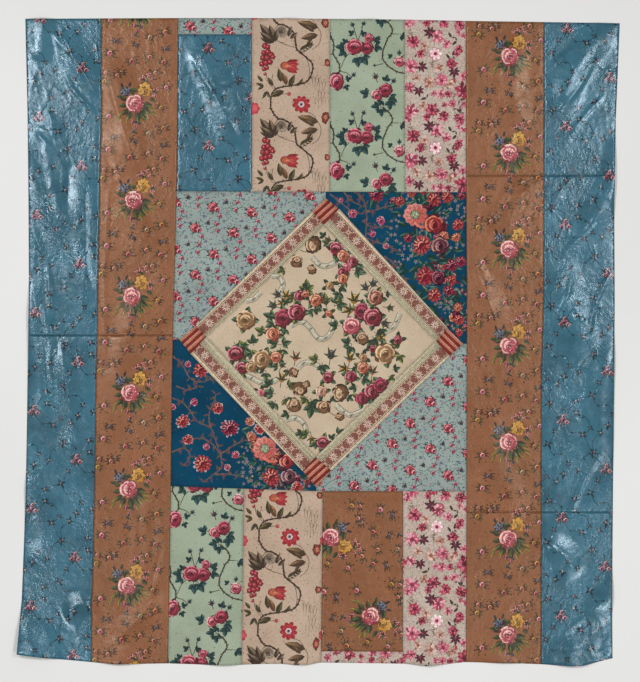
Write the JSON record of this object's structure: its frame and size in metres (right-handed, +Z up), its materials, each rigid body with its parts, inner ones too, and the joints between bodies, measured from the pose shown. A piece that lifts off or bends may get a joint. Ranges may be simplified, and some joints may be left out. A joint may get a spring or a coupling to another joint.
{
  "type": "patchwork coverlet",
  "caption": "Unlined patchwork bed coverlet of printed and glazed cottons: a bordered diamond medallion in a square, with patched rows at head and foot and long strips down both sides.",
  "frame": {"origin": "on the surface under the middle of the cloth, at the centre of its outline", "axes": "+Z up off the surface that the cloth lies on, printed side up; +Y from foot to head, as the picture shows it upright; +X to the right in the picture"},
  "size_m": [2.3128, 2.4876, 0.0276],
  "materials": {
    "glazed_blue": "glazed cotton print, blue ground with small trailing sprigs, glossy and crinkled",
    "glazed_brown": "glazed cotton print, brown ground with rose bouquets, soft sheen",
    "teal_sprig": "cotton print, pale teal ground with small roses, matt",
    "deep_blue": "cotton chintz print, deep blue ground with flower bouquets, matt",
    "cream_trail": "cotton print, cream ground with trailing stems, matt",
    "mint_rose": "cotton print, mint ground with large roses, matt",
    "pink_sprig": "cotton print, off-white ground with pink and maroon leaves, matt",
    "centre_cream": "cotton print, cream ground with roses and ribbons, matt",
    "border_print": "cotton border print with rosettes between lines, matt",
    "block_stripe": "striped cotton print in red-brown and salmon, matt"
  },
  "bodies": {
    "root": {"blue_left_head": "glazed_blue", "blue_left_foot": "glazed_blue", "brown_left_head": "glazed_brown", "brown_left_foot": "glazed_brown", "brown_right_head": "glazed_brown", "brown_right_middle": "glazed_brown", "brown_right_foot": "glazed_brown", "blue_right_head": "glazed_blue", "blue_right_middle": "glazed_blue", "blue_right_foot": "glazed_blue", "head_strip": "teal_sprig", "head_blue": "glazed_blue", "head_cream": "cream_trail", "head_mint": "mint_rose", "head_pink": "pink_sprig", "foot_mint": "mint_rose", "foot_cream": "cream_trail", "foot_brown": "glazed_brown", "foot_strip": "pink_sprig", "foot_pink": "pink_sprig", "corner_head_left": "teal_sprig", "corner_head_right": "deep_blue", "corner_foot_right": "teal_sprig", "corner_foot_left": "deep_blue", "border_head_right": "border_print", "border_foot_right": "border_print", "border_foot_left": "border_print", "border_head_left": "border_print", "block_top": "block_stripe", "block_right": "block_stripe", "block_bottom": "block_stripe", "block_left": "block_stripe", "centre_panel": "centre_cream"}
  },
  "joints": []
}
